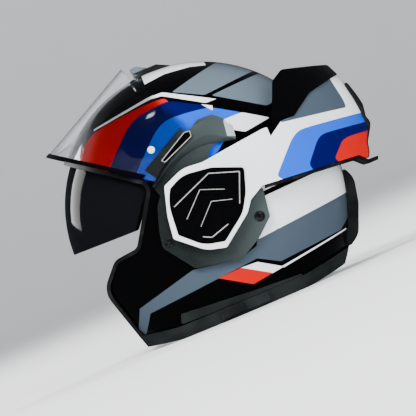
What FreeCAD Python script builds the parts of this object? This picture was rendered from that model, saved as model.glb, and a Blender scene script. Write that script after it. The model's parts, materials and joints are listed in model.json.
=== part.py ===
"""Flip-back motorcycle helmet, stored with its chin bar turned back, its visor up and its sun visor down.

Row frame: +Z up, -Y to the front of the helmet, +X to the wearer's left, millimetres.
Every piece is drawn in the hinge frame, whose X axis is the common hinge axis of chin bar, visor and sun
visor, and its Placement then lifts it to the row frame, where the base of the helmet rests on Z = 0.
"""

import FreeCAD, Part
import Sketcher

import math
import os

from FreeCAD import Matrix, Placement, Rotation, Vector

# ---------------------------------------------------------------- driving sizes, in mm and degrees
SIZES = [
    ("HingeHeight", 116.0),  # hinge axis above the surface that the helmet stands on
    ("HingeY", -24.3),  # hinge axis from the middle of the stored helmet
    ("ShellHalfWidth", 123.0),  # the dome's half width, before its flat hinge lands
    ("DomeRadius", 146.0),  # the dome's radius about the hinge axis
    ("LowerStretch", 1.12),  # how much deeper the shell is below the hinge than above
    ("SkinPower", 2.6),  # squareness of the dome seen from the front
    ("LandDepth", 5.4),  # how far the flat hinge lands lie inside the half width
    ("ShellWall", 4.0),
    ("TrimWall", 1.6),  # rubber outside the shell's edge
    ("TrimLip", 1.0),  # and inside it
    ("TrimWidth", 4.0),
    ("SkirtWall", 2.2),
    ("SkirtHeight", 13.0),
    ("BaseFlat", 70.0),  # half length of the flat part of the base
    ("BaseRise", 11.0),  # how far the base has risen at the front and back ends
    ("LinerGap", 5.6),  # room for the sun visor between shell and foam
    ("FoamWall", 31.0),
    ("ComfortWall", 9.0),
    ("PadWall", 38.0),
    ("NeckHalfWidth", 62.0),
    ("NeckHalfLength", 78.0),
    ("SunVisorGap", 1.4),
    ("SunVisorWall", 2.2),
    ("VisorDistance", 152.6),  # from the hinge axis to the flat front of the visor
    ("VisorOverShell", 10.4),  # how much wider than the shell's lands the visor is
    ("VisorWall", 2.2),
    ("VisorTilt", 62.8),  # how far the raised visor leans back from upright
    ("VisorTop", 51.7),
    ("VisorBottom", 65.5),
    ("VisorArmWall", 3.2),
    ("HingeGap", 0.4),  # side play between the stacked hinge pieces
    ("PlateDepth", 6.8),  # how far the hinge plate stands off the shell's land
    ("PinRadius", 8.0),
    ("RunningGap", 0.08),
    ("HubRadius", 20.0),
    ("ChinInnerRadius", 169.5),  # hinge axis to the chin bar's inner surface, in the middle
    ("ChinOverVisor", 4.0),  # how much wider than the visor the chin bar is inside
    ("ChinInnerPower", 2.8),
    ("ChinArmWall", 4.5),
    ("ChinOuterRadius", 190.5),  # hinge axis to the chin's outermost ridge
    ("ChinPower", 2.4),
    ("ChinWall", 3.2),
    ("SealHeight", 3.6),
    ("CoverWall", 2.0),
    ("CapDepth", 3.2),
    ("CapWall", 1.9),
    ("ScrewRadius", 5.0),
    ("ShutterTravel", 6.0),
    ("ButtonTravel", 3.0),
    ("StrapWidth", 24.0),
    ("StrapWall", 2.4),
    ("BuckleLength", 44.0),
    ("BuckleWidth", 30.0),
    ("BuckleWall", 9.0),
]

FAR = 400.0  # beyond the helmet in every direction
PROFILE_SPANS = 10  # points along a quarter of a superellipse


# ---------------------------------------------------------------- document
doc = FreeCAD.newDocument("Helmet")
sheet = doc.addObject("Spreadsheet::Sheet", "Sizes")
for row, (alias, value) in enumerate(SIZES, start=1):
    sheet.set(f"A{row}", alias)
    sheet.set(f"B{row}", str(value))
    sheet.setAlias(f"B{row}", alias)
doc.recompute()


class Cells:
    """The spreadsheet's cells as plain numbers: cells.DomeRadius reads the cell with that alias."""

    def __getattr__(self, alias):
        return float(sheet.get(alias))


cells = Cells()
sub_parts = {}


def place(feature, label):
    """Lifts a piece from the hinge frame to the row frame and lists it as a sub-part."""
    feature.Label = label
    feature.setExpression(".Placement.Base.y", "Sizes.HingeY")
    feature.setExpression(".Placement.Base.z", "Sizes.HingeHeight")
    sub_parts[label] = feature
    return feature


def freeform(label, shape):
    """A piece whose curved shape is worked out here from the sheet's sizes."""
    feature = doc.addObject("Part::Feature", label)
    feature.Shape = shape
    return place(feature, label)


def cylinder(name, radius, length, start, reverse=False, along=(1, 0, 0)):
    """A bound Part::Cylinder. radius, length and the coordinates of start are expressions on the sheet."""
    feature = doc.addObject("Part::Cylinder", name)
    feature.setExpression("Radius", radius)
    feature.setExpression("Height", length)
    direction = Vector(*along) * (-1 if reverse else 1)
    feature.Placement = Placement(Vector(0, 0, 0), Rotation(Vector(0, 0, 1), direction))
    for axis, value in zip("xyz", start):
        feature.setExpression(f".Placement.Base.{axis}", value)
    return feature


def cut(name, base, tool):
    feature = doc.addObject("Part::Cut", name)
    feature.Base = base
    feature.Tool = tool
    return feature


def union(name, *shapes):
    feature = doc.addObject("Part::MultiFuse", name)
    feature.Shapes = list(shapes)
    return feature


# ---------------------------------------------------------------- shared geometry, in the hinge frame
def box(x0, x1, y0, y1, z0, z1):
    return Part.makeBox(x1 - x0, y1 - y0, z1 - z0, Vector(x0, y0, z0))


def mirrored(shape):
    """The same piece on the other side of the helmet."""
    return shape.mirror(Vector(0, 0, 0), Vector(1, 0, 0))


def one_solid(shape):
    """The shape as a single clean solid where it is one."""
    solids = shape.Solids
    return solids[0] if len(solids) == 1 else Part.makeCompound(solids)


def superellipse(half_width, depth, power, spans=PROFILE_SPANS):
    """Half a superellipse in the XY plane, from (-half_width, 0) over (0, depth) to (half_width, 0)."""
    quarter = []
    for k in range(spans + 1):
        turn = math.pi / 2 * k / spans
        x = half_width * max(math.cos(turn), 0.0) ** (2 / power)
        y = depth * math.sin(turn) ** (2 / power)
        quarter.append(Vector(x if k < spans else 0.0, y, 0))
    points = [Vector(-p.x, p.y, 0) for p in quarter] + list(reversed(quarter[:-1]))
    curve = Part.BSplineCurve()
    curve.interpolate(Points=points, InitialTangent=Vector(0, 1, 0), FinalTangent=Vector(0, -1, 0))
    return curve.toShape()


def turned(half_width, radius, power, degrees=360):
    """A body of revolution about the hinge axis. A half turn covers the upper half."""
    rim = superellipse(half_width, radius, power)
    chord = Part.makeLine(Vector(half_width, 0, 0), Vector(-half_width, 0, 0))
    return Part.Face(Part.Wire([rim, chord])).revolve(Vector(0, 0, 0), Vector(1, 0, 0), degrees)


skins = {}


def skin(grow):
    """The solid inside the helmet's outer surface, grown outwards by grow: a dome turned about the hinge
    axis, the same dome stretched downwards below it, and a flat land on each side."""
    grow = round(grow, 4)
    if grow not in skins:
        half, radius = cells.ShellHalfWidth + grow, cells.DomeRadius + grow
        upper = turned(half, radius, cells.SkinPower, 180)
        lower = upper.copy()
        lower.rotate(Vector(0, 0, 0), Vector(1, 0, 0), 180)
        stretch = Matrix()
        stretch.scale(1, 1, cells.LowerStretch)
        lower = lower.transformGeometry(stretch)
        land = half - cells.LandDepth
        slab = box(-land, land, -FAR, FAR, -FAR, FAR)
        skins[grow] = upper.fuse(lower).common(slab)
    return skins[grow]


def layer(outer, inner):
    """The wall between two grown skins."""
    return skin(outer).cut(skin(inner))


def outline(corners):
    """A closed wire in the plane X = 0 through (y, z, corner radius) points, each with its own rounding."""
    points = [Vector(0, c[0], c[1]) for c in corners]
    edges, ends = [], []
    count = len(points)
    for i, here in enumerate(points):
        before = (points[i - 1] - here).normalize()
        after = (points[(i + 1) % count] - here).normalize()
        radius = corners[i][2] if len(corners[i]) > 2 else 0.0
        half = before.getAngle(after) / 2
        if radius <= 0 or half > math.radians(89):
            ends.append((here, here))
            continue
        reach = radius / math.tan(half)
        middle = here + (before + after).normalize() * (radius / math.sin(half) - radius)
        start, stop = here + before * reach, here + after * reach
        edges.append(Part.Arc(start, middle, stop).toShape())
        ends.append((start, stop))
    for i in range(count):
        start, stop = ends[i][1], ends[(i + 1) % count][0]
        if start.distanceToPoint(stop) > 1e-6:
            edges.append(Part.makeLine(start, stop))
    return Part.Wire(Part.__sortEdges__(edges))


def prism(wire, x0=-FAR, x1=FAR):
    """A closed wire in the plane X = 0, extruded from X = x0 to X = x1."""
    solid = Part.Face(wire).extrude(Vector(x1 - x0, 0, 0))
    solid.translate(Vector(x0, 0, 0))
    return solid


def bore(size, start=-FAR, y=0.0, z=0.0):
    """A drill of that radius along X, through the helmet or from X = start outwards."""
    return Part.makeCylinder(size, 2 * FAR, Vector(start, y, z), Vector(1, 0, 0))


def grown(wire, by):
    """The wire moved outwards by that much in its own plane."""
    return wire.makeOffset2D(by, 0, False, False, True) if abs(by) > 1e-6 else wire


def level_oval(half_width, reach, height, power):
    """A closed superellipse in the level plane Z = height, centred on the hinge axis."""
    half = superellipse(half_width, reach, power)
    other = half.copy()
    other.rotate(Vector(0, 0, 0), Vector(0, 0, 1), 180)
    wire = Part.Wire([half, other])
    wire.translate(Vector(0, 0, height))
    return wire


# ---------------------------------------------------------------- sizes worked out from the driving ones
base = -cells.HingeHeight
land = cells.ShellHalfWidth - cells.LandDepth  # X of the shell's flat hinge lands
radius = cells.DomeRadius
inside = -cells.ShellWall
foam_out = inside - cells.LinerGap
foam_in = foam_out - cells.FoamWall
arm_in = land + cells.HingeGap
arm_out = arm_in + cells.VisorArmWall
plate_in = arm_out + cells.HingeGap
pin_end = land - cells.ShellWall - 10.0  # inner end of the hinge pin, in a pocket of the foam
FLANGE = 12.0  # radius of the hinge pin's flange, inside the shell
plate_out = land + cells.PlateDepth
hub_in = plate_in + cells.HingeGap
unit = radius / 146.0  # side outlines below are drawn for this dome and follow it in proportion


def corners(points):
    """Side outlines are drawn for a 146 mm dome and follow the dome's radius."""
    return [tuple(v * unit for v in p) for p in points]


def side(points):
    return outline(corners(points))


SCREWS = [(-44.3, -21.2), (47.4, -32.1)]  # the hinge plate's screws, seen from the side
SEAT_DEPTH = 2.6
RIVET = 2.5  # shank radius of the strap's rivets
RIVET_Z = -52.0

# The face opening: brow edge, back edge beside the eyes, and the front edge of the cheeks.
FACE = [
    (-230, 178, 0),
    (-43, 38.5, 9),
    (-67, 1, 26),
    (-77, -14.5, 8),
    (-102, -17, 14),
    (-125, -42, 22),
    (-105, -116, 10),
    (-112, -190, 0),
    (-230, -190, 0),
]
face = side(FACE)


def base_outline(lift=0.0):
    """The space under the helmet: level in the middle and rising to both ends. lift raises it."""
    end = cells.BaseFlat * 3
    rise = cells.BaseRise * (end - cells.BaseFlat) / (radius - cells.BaseFlat)
    return outline(
        [
            (-end, base + rise + lift, 0),
            (-cells.BaseFlat, base + lift, cells.BaseFlat),
            (cells.BaseFlat, base + lift, cells.BaseFlat),
            (end, base + rise + lift, 0),
            (end, base - FAR, 0),
            (-end, base - FAR, 0),
        ]
    )


# ---------------------------------------------------------------- shell, edge trim and skirt
def make_shell():
    shell = layer(0, inside)
    shell = shell.cut(prism(grown(face, cells.TrimWall)))
    shell = shell.cut(prism(base_outline(cells.TrimWall)))
    holes = [(0, 0, cells.PinRadius), (0, RIVET_Z * unit, RIVET)]
    holes += [(y * unit, z * unit, cells.ScrewRadius / 2) for y, z in SCREWS]
    for y, z, size in holes:
        shell = shell.cut(bore(size + cells.RunningGap, -FAR, y, z))
    return shell


def make_face_trim(shell):
    """A rubber channel over the shell's edge, all round the face opening."""
    band = prism(grown(face, cells.TrimWidth)).cut(prism(face))
    trim = layer(cells.TrimWall, inside - cells.TrimLip).common(band)
    trim = trim.cut(prism(base_outline(cells.SkirtHeight)))
    return trim.cut(shell)


def make_skirt(shell):
    """The moulded edge round the neck opening, which the helmet stands on."""
    band = prism(base_outline(cells.SkirtHeight)).cut(prism(base_outline()))
    skirt = layer(cells.SkirtWall, inside - cells.TrimWall).common(band)
    return skirt.cut(prism(face)).cut(shell)


shell = make_shell()
freeform("outer_shell", shell)
freeform("face_opening_trim", make_face_trim(shell))
freeform("neck_skirt", make_skirt(shell))


# ---------------------------------------------------------------- foam, comfort liner, cheek pads, neck roll
def neck_column(half_width, half_length, top):
    """The upright oval space that the head passes through, up to that height."""
    wire = level_oval(half_width, half_length, base - 20, 2.2)
    return Part.Face(wire).extrude(Vector(0, 0, top - base + 20))


FOAM_EDGE = -40.0 * unit  # lower edge of the crown foam
liner_face = side([(-230, 186, 0), (-34, 46, 10), (-58, 0, 20), (-58, -60, 0), (-230, -60, 0)])


def make_foam():
    foam = layer(foam_out, foam_in).common(box(-FAR, FAR, -FAR, FAR, FOAM_EDGE, FAR))
    foam = foam.cut(prism(liner_face))
    for start in (pin_end - 2, -pin_end - FAR + 2):
        foam = foam.cut(Part.makeCylinder(FLANGE + 2, FAR, Vector(start, 0, 0), Vector(1, 0, 0)))
    return one_solid(foam)


def make_comfort_liner():
    outer = foam_in - 0.3
    liner = layer(outer, outer - cells.ComfortWall).common(box(-FAR, FAR, -FAR, FAR, FOAM_EDGE + 2, FAR))
    return one_solid(liner.cut(prism(grown(liner_face, 3))))


CHEEK = [
    (-61, -43, 4),
    (-68, -20, 8),
    (-104, -24, 14),
    (-119, -44, 18),
    (-101, -112, 10),
    (30, -118, 10),
    (34, -43, 6),
]


def make_cheek_pad():
    pad = skin(foam_out - 0.3).common(prism(side(CHEEK), 0, FAR))
    pad = pad.cut(skin(foam_out - cells.PadWall))
    pad = pad.cut(neck_column(cells.NeckHalfWidth, cells.NeckHalfLength, FOAM_EDGE))
    pad = pad.cut(prism(base_outline(3.0)))
    keep = box(cells.NeckHalfWidth * 0.5, FAR, -FAR, FAR, -FAR, FAR)
    return one_solid(pad.common(keep))


def make_neck_roll():
    roll = skin(foam_out - 0.3).common(box(-FAR, FAR, 37 * unit, FAR, base, FOAM_EDGE - 3))
    roll = roll.cut(neck_column(cells.NeckHalfWidth + 6, cells.NeckHalfLength + 8, FOAM_EDGE))
    roll = roll.cut(prism(base_outline(3.0)))
    return one_solid(roll)


freeform("foam_liner", make_foam())
freeform("comfort_liner", make_comfort_liner())
cheek = make_cheek_pad()
freeform("cheek_pad_left", cheek)
freeform("cheek_pad_right", mirrored(cheek))
freeform("neck_roll", make_neck_roll())


# ---------------------------------------------------------------- sun visor
SUN = [
    (-230, 6, 0),
    (-72, 2, 4),
    (-55, 24, 10),
    (-38, 45, 6),
    (-150, 178, 0),
    (-230, 178, 0),
]
sun_out = inside - cells.SunVisorGap
sun_in = sun_out - cells.SunVisorWall
GLUE_GAP = 0.2  # between a lens and the arm that is bonded to it


def lens_walls(gap=0.0):
    """The dome that the sun visor is cut from, thickened on both faces by gap."""
    outer, inner = sun_out + gap, sun_in - gap
    return turned(cells.ShellHalfWidth + outer, radius + outer, cells.SkinPower).cut(
        turned(cells.ShellHalfWidth + inner, radius + inner, cells.SkinPower)
    )


def make_sun_lens():
    lens = lens_walls().common(prism(side(SUN)))
    limit = land + sun_out
    return one_solid(lens.common(box(-limit, limit, -FAR, 0, -FAR, FAR)))


stub_radius = cells.PinRadius / 2
sun_arm_out = land + inside - 3.4
sun_arm_in = sun_arm_out - 1.8
SUN_ARM = [(-8, 9, 8), (-13, -7, 8), (9, -10, 10), (10, 9, 10)]
SUN_LIMB = [(-4, 8, 0), (-46, 41, 6), (-63, 20, 6), (-66, 12, 4), (-5, -8, 0)]


def make_sun_arm(lens):
    disc = Part.makeCylinder(11 * unit, 1.8, Vector(sun_arm_in, 0, 0), Vector(1, 0, 0))
    limb = prism(side(SUN_LIMB), sun_arm_in, sun_arm_out)
    arm = disc.fuse(limb).cut(bore(stub_radius + cells.RunningGap)).cut(lens_walls(GLUE_GAP))
    return one_solid(arm.removeSplitter())


sun_lens = make_sun_lens()
freeform("sun_visor_lens", sun_lens)
sun_arm = make_sun_arm(sun_lens)
freeform("sun_visor_arm_left", sun_arm)
freeform("sun_visor_arm_right", mirrored(sun_arm))


# ---------------------------------------------------------------- visor, drawn upright and leaned back
visor_half = land + cells.VisorOverShell
visor_y = -cells.VisorDistance


def visor_body(shrink):
    """A U-shaped column: the visor's flat-profiled surface, before it is cut to its outline."""
    wire = level_oval(visor_half - shrink, cells.VisorDistance - shrink, -FAR / 2, cells.SkinPower)
    return Part.Face(wire).extrude(Vector(0, 0, FAR))


def leaned(shape):
    """From the visor's upright drawing position to its raised one."""
    turned_shape = shape.copy()
    turned_shape.rotate(Vector(0, 0, 0), Vector(1, 0, 0), -cells.VisorTilt)
    return turned_shape


def visor_outline(low=0.0):
    top, bottom = cells.VisorTop, -cells.VisorBottom + low
    return outline(
        [
            (visor_y - 40, top, 0),
            (-66 * unit, top, 16 * unit),
            (-49 * unit, 12 * unit, 26 * unit),
            (-51.5 * unit, -13 * unit + low, 4 * unit),
            (visor_y, bottom, 0),
            (visor_y - 40, bottom, 0),
        ]
    )


def make_lens():
    walls = visor_body(0).cut(visor_body(cells.VisorWall))
    return one_solid(leaned(walls.common(prism(visor_outline()))))


RIM_HEIGHT = 5.0
RIM_WALL = 1.2


def make_visor_rim():
    """The thickened bead along the visor's lower edge."""
    walls = visor_body(-RIM_WALL).cut(visor_body(0))
    strip = prism(visor_outline()).cut(prism(visor_outline(RIM_HEIGHT)))
    strip = strip.common(box(-FAR, FAR, -FAR, -62 * unit, -FAR, FAR))
    return one_solid(leaned(walls.common(strip)))


VISOR_ARM = [
    (-38.5, 34, 5),
    (-14, 52, 30),
    (13, 70, 20),
    (27, 80, 8),
    (43, 79, 8),
    (52, 71, 4),
    (53, 54, 5),
    (28, 50, 14),
    (14, 24, 10),
    (8, -10, 4),
    (-20, -12, 8),
    (-30, 10, 8),
]
ARM_ROOT = 52.0  # radius within which the arm's full thickness lies against the shell's land
VISOR_SHOE = [(-70, 46, 4), (-50, 40, 4), (-46, 0, 4), (-50, -9, 3), (-72, -12, 4)]
over_trim = land + cells.TrimWall + 0.5  # nearest that anything outside the trim comes
pin_view = (-26 * unit, 70 * unit)  # where the pin of the anti-fog insert shows


def make_visor_arm():
    """A plate that turns on the hinge pin, with a shoe that carries the lens."""
    root = prism(side(VISOR_ARM), arm_in, arm_out)
    root = root.common(bore(ARM_ROOT * unit))
    disc = Part.makeCylinder(25 * unit, arm_out - arm_in, Vector(arm_in, 0, 0), Vector(1, 0, 0))
    blade = prism(side(VISOR_ARM), over_trim, arm_out)
    shoe = leaned(visor_body(cells.VisorWall).common(prism(side(VISOR_SHOE), over_trim, FAR)))
    glass = leaned(visor_body(-GLUE_GAP).cut(visor_body(cells.VisorWall + GLUE_GAP)))
    arm = root.fuse([disc, blade, shoe]).cut(bore(cells.PinRadius + cells.RunningGap)).cut(glass)
    return one_solid(arm.removeSplitter())


def visor_side(y, z):
    """X of the raised visor's outer surface where it is seen at (y, z) from the side."""
    lean = math.radians(cells.VisorTilt)
    depth = abs(y * math.cos(lean) - z * math.sin(lean)) / cells.VisorDistance
    return visor_half * (1 - depth**cells.SkinPower) ** (1 / cells.SkinPower)


PIN_HEAD = 3.6  # radius of the insert pin's head, twice that of its shank
pin_x = visor_side(*pin_view)
lens = make_lens().cut(bore(PIN_HEAD / 2 + 0.1, -FAR, *pin_view))
freeform("visor_lens", lens)
freeform("visor_rim", make_visor_rim())
visor_arm = make_visor_arm()
freeform("visor_arm_left", visor_arm)
freeform("visor_arm_right", mirrored(visor_arm))


def make_insert_pins():
    """The two pins that hold the anti-fog insert, each a shank with a head outside the lens."""
    shank = Part.makeCylinder(PIN_HEAD / 2, 4.6, Vector(pin_x - 3.6, *pin_view), Vector(1, 0, 0))
    head = Part.makeCylinder(PIN_HEAD, 2.4, Vector(pin_x - 1.2, *pin_view), Vector(1, 0, 0))
    dimple = Part.makeCylinder(PIN_HEAD * 0.45, 1.0, Vector(pin_x + 0.6, *pin_view), Vector(1, 0, 0))
    glass = leaned(visor_body(-GLUE_GAP))
    pin = shank.fuse(head.cut(glass)).cut(dimple)
    return Part.makeCompound([pin, mirrored(pin)])


freeform("insert_pins", make_insert_pins())


# ---------------------------------------------------------------- hinge plates, screwed to the shell
PLATE = [
    (-28.5, 33.5, 4),
    (-42, 16, 26),
    (-50, -8, 20),
    (-53, -24, 6),
    (-31, -55, 5),
    (16, -64, 6),
    (39.5, -51, 16),
    (57, -36, 4),
    (61.5, -5, 2),
    (47, -13, 10),
    (30, 5, 12),
    (28, 24, 10),
    (-8, 30, 10),
]
POCKET = [
    (-90, 2, 0),
    (-53.5, 2, 0),
    (-32, -12.5, 4),
    (-26, -27, 20),
    (26, -27, 24),
    (27, 2, 4),
    (90, 2, 0),
    (90, 90, 0),
    (-90, 90, 0),
]


def make_plate():
    """A cover that the screws clamp to the shell; the visor arm turns in the pocket behind it."""
    plate = prism(side(PLATE), land - 8, plate_out).cut(skin(0.15))
    plate = plate.cut(prism(side(POCKET), land - 20, plate_in))
    plate = plate.cut(bore(cells.HubRadius + 0.6))
    for y, z in SCREWS:
        seat = bore(cells.ScrewRadius + 0.5, plate_out - SEAT_DEPTH, y * unit, z * unit)
        shank = bore(cells.ScrewRadius / 2 + 0.1, -FAR, y * unit, z * unit)
        plate = plate.cut(seat).cut(shank)
    return one_solid(plate)


plate = make_plate()
freeform("hinge_plate_left", plate)
freeform("hinge_plate_right", mirrored(plate))


# ---------------------------------------------------------------- chin bar, turned to the back
chin_inner_half = visor_half + cells.ChinOverVisor
chin_outer_half = chin_inner_half + cells.ChinArmWall
NOSE = [
    (170, 81, 4),
    (183, 52, 40),
    (188, 36, 6),
    (184, 19, 6),
    (186.5, 12, 5),
    (176, -5, 8),
    (174, -14, 5),
    (170.5, -22, 3),
]
CHIN = [
    (163, -14.5, 2),
    (61.5, -5, 3),
    (45.6, -13.6, 5),
    (37.8, -24.2, 20),
    (5.6, -47.7, 3),
    (-14, -42.5, 30),
    (-39.6, -19.9, 3),
    (-36.5, 3, 50),
    (-28, 31.6, 4),
    (-5, 41, 30),
    (16, 39, 20),
    (44, 42.4, 40),
    (84, 46.7, 15),
    (101, 44.5, 3),
    (96, 50, 3),
    (112, 86, 6),
    (124, 93, 5),
]
CHIN_BACK = 116.0 * unit  # the hollow part of the chin bar starts here
RECESS = [
    (-23.6, 27.3, 4),
    (-7.8, 35, 30),
    (22, 31, 20),
    (52, 18.7, 3),
    (44, -5, 30),
    (33.5, -22.4, 30),
    (6.6, -41.7, 3),
    (-14, -37, 30),
    (-33.9, -18.3, 3),
    (-31, 14, 50),
]
chin_inner = turned(chin_inner_half, cells.ChinInnerRadius, cells.ChinInnerPower)
chin_side = side(NOSE + CHIN)


def chin_wall(grow, inner_grow=0.0):
    """The turned wall between the chin bar's outer surface, grown by grow, and its inner one."""
    outer = turned(chin_outer_half + grow, cells.ChinOuterRadius * unit + grow, cells.ChinPower)
    if inner_grow:
        reach = cells.ChinInnerRadius + inner_grow
        return outer.cut(turned(chin_inner_half + inner_grow, reach, cells.ChinInnerPower))
    return outer.cut(chin_inner)


def chin_envelope():
    """The chin bar's outline filled right through to its outer surface."""
    return turned(chin_outer_half, cells.ChinOuterRadius * unit, cells.ChinPower).common(prism(chin_side))


def chin_block(shrink=0.0):
    """The chin bar filled solid between its outer surface and the inner one, shrunk evenly by shrink."""
    return chin_wall(-shrink).common(prism(grown(chin_side, -shrink)))


def make_chin_cavity():
    return one_solid(chin_block(cells.ChinWall).common(box(-FAR, FAR, CHIN_BACK, FAR, -FAR, FAR)))


def tidy_largest(shape):
    """The largest solid of a shape, without the slivers that a cut leaves."""
    return max(shape.Solids, key=lambda solid: solid.Volume)


hub_length = chin_outer_half - cells.CapDepth - hub_in
cap_floor = chin_outer_half - cells.CapDepth
SHUTTER = (16.0, 23.0, 34.0)  # half width, lower and upper end of the chin vent's shutter
shutter_in = 182.4 * unit
WINDOW_GAP = 0.5


def shutter_window(depth):
    """The opening that the shutter slides up in, from that depth outwards."""
    half, low, high = SHUTTER
    return box(
        -half - WINDOW_GAP,
        half + WINDOW_GAP,
        depth,
        FAR,
        low - WINDOW_GAP,
        high + cells.ShutterTravel + WINDOW_GAP,
    )


BUTTON = (11.0, 152.0 * unit, 163.0 * unit)  # half width, start and end in Y of the release button
button_top = 85.2 * unit
BUTTON_HEIGHT = 9.0


def button_space(gap):
    """The well that the release button is pressed into."""
    half, start, end = BUTTON
    floor = button_top - BUTTON_HEIGHT - cells.ButtonTravel
    return box(-half - gap, half + gap, start - gap, end + gap, floor - gap, FAR)


chin_cavity = make_chin_cavity()


def make_chin_shell():
    """Outer wall, arms and hinge hubs of the chin bar."""
    shell = chin_block().cut(chin_cavity)
    for sign in (1, -1):
        axis = Vector(sign, 0, 0)
        hub = Part.makeCylinder(cells.HubRadius, hub_length, Vector(sign * hub_in, 0, 0), axis)
        shell = shell.fuse(hub).cut(bore(cells.PinRadius + cells.RunningGap))
    left_recess = prism(side(RECESS), cap_floor, FAR)
    shell = shell.cut(left_recess).cut(mirrored(left_recess))
    shell = shell.cut(shutter_window(shutter_in)).cut(button_space(0.3))
    return tidy_largest(shell)


COVER = [(-44, -34, 0), (44, -34, 0), (50, 12, 14), (38, 58, 10), (-38, 58, 10), (-50, 12, 14)]


def make_chin_cover():
    """The vent cover over the chin's ridge, with the window that the shutter slides in."""
    cover = chin_wall(cells.CoverWall).common(prism(grown(chin_side, cells.CoverWall)))
    cover = cover.cut(chin_envelope())
    cover = cover.common(prism(side([(150, -16, 0), (150, 66, 0), (230, 74, 0), (230, -32, 0)])))
    front = prism(side(COVER), 0, FAR)
    front.rotate(Vector(0, 0, 0), Vector(0, 0, 1), 90)
    cover = cover.common(front)
    return tidy_largest(cover.cut(shutter_window(shutter_in)))


LIP_WALL = 1.2
LIP = [
    (90, 47, 0),
    (107.5, 49.5, 0),
    (117, 46, 4),
    (141, 62, 10),
    (168, 67.5, 10),
    (200, 74, 0),
    (200, 120, 0),
    (90, 120, 0),
]


def make_chin_lip():
    """Gloss moulding round the edge that meets the neck when the chin bar is closed."""
    lip = chin_wall(LIP_WALL).common(prism(grown(chin_side, LIP_WALL)))
    lip = lip.cut(chin_envelope())
    return tidy_largest(lip.common(prism(side(LIP))).cut(button_space(0.3)))


def make_chin_seal():
    """Rubber lip along the edge that the visor closes against."""
    edge = [(64, -5.2), (163, -14.5), (171, -22.5), (182, -22.5)]
    low = [(y - 1.5, z - cells.SealHeight / unit) for y, z in reversed(edge)]
    strip = side([(y, z, 0) for y, z in edge + low])
    return chin_wall(-0.8, 0.6).common(prism(strip)).cut(chin_block()).cut(chin_cover)


chin_shell = make_chin_shell()
chin_cover = make_chin_cover()
freeform("chin_bar_shell", chin_shell)
foam_cut = chin_cavity.cut(shutter_window(shutter_in)).cut(button_space(0.3))
freeform("chin_bar_foam", tidy_largest(foam_cut))
freeform("chin_bar_lip", make_chin_lip())
freeform("chin_bar_seal", make_chin_seal())
freeform("chin_vent_cover", chin_cover)


def make_pivot_cap():
    return prism(grown(side(RECESS), -0.3), cap_floor + 0.05, cap_floor + cells.CapWall)


cap = make_pivot_cap()
freeform("pivot_cap_left", cap)
freeform("pivot_cap_right", mirrored(cap))

# ---------------------------------------------------------------- crown vent, rear extractor, side strips
VENT_TOP = 149.6  # level of the flat that the crown vent's slider runs on
vent_level = VENT_TOP * unit


def vent_oval(half, y0, y1, z0, z1, rounding):
    """A rounded upright block of the crown vent."""
    ends = [(y0, -half), (y1, -half), (y1, half), (y0, half)]
    plan = outline([(*end, rounding) for end in ends])
    plan.rotate(Vector(0, 0, 0), Vector(0, 1, 0), 90)
    plan.translate(Vector(0, 0, z0))
    return Part.Face(plan).extrude(Vector(0, 0, z1 - z0))


def make_vent_base():
    base_block = vent_oval(33, -15 * unit, 24 * unit, 100, vent_level, 12)
    rear = prism(side([(9, VENT_TOP + 1, 0), (24, 143.5, 0), (24, 220, 0), (9, 220, 0)]))
    return one_solid(base_block.cut(rear).cut(skin(0.15)))


def make_vent_slider():
    """The scoop that slides back to close the crown vent, with its mouth at the front."""
    scoop = prism(side([(-14.5, 149.9, 0), (-17, 154.6, 1.5), (-9, 156, 4), (1.5, 149.9, 0)]))
    block = scoop.common(vent_oval(27, -18 * unit, 3 * unit, vent_level + 0.3, vent_level + 20, 7))
    mouth = prism(side([(-30, 151.2, 0), (-30, 153.4, 0), (-9, 153.4, 1), (-6, 151.2, 0)]), -20, 20)
    return one_solid(block.cut(mouth))


freeform("crown_vent_base", make_vent_base())
freeform("crown_vent_slider", make_vent_slider())

EXTRACTOR = [
    (-30, -22, 8),
    (30, -22, 8),
    (40, -58, 16),
    (33, -96, 10),
    (-33, -96, 10),
    (-40, -58, 16),
]


EXTRACTOR_EDGE = [
    (120, -14, 0),
    (146, -20, 10),
    (151.5, -34, 20),
    (146, -58, 40),
    (134, -88, 20),
    (118, -99, 0),
    (60, -99, 0),
]


def make_extractor():
    """The raised air extractor down the middle of the back."""
    front = prism(side(EXTRACTOR), 0, FAR)
    front.rotate(Vector(0, 0, 0), Vector(0, 0, 1), 90)
    body = front.common(prism(side(EXTRACTOR_EDGE))).cut(skin(0.15))
    for level in (-40, -58, -76):
        slot = side([(139, level, 0), (200, level - 10, 0), (200, level - 4, 0), (139, level + 5, 0)])
        body = body.cut(prism(slot, -24, 24))
    return tidy_largest(body.cut(prism(base_outline(cells.SkirtHeight + 0.2))))


freeform("rear_extractor", make_extractor())

STRIP = [(-66, -101.5, 2), (-62, -91.5, 2), (18, -98, 60), (64, -101, 0), (64, -102.6, 0), (-20, -102.6, 0)]


def make_side_strip():
    strip = layer(2.4, 0.15).common(prism(side(STRIP), 0, FAR))
    return tidy_largest(strip.cut(prism(base_outline(cells.SkirtHeight + 0.2))))


strip = make_side_strip()
freeform("side_strip_left", strip)
freeform("side_strip_right", mirrored(strip))


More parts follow.
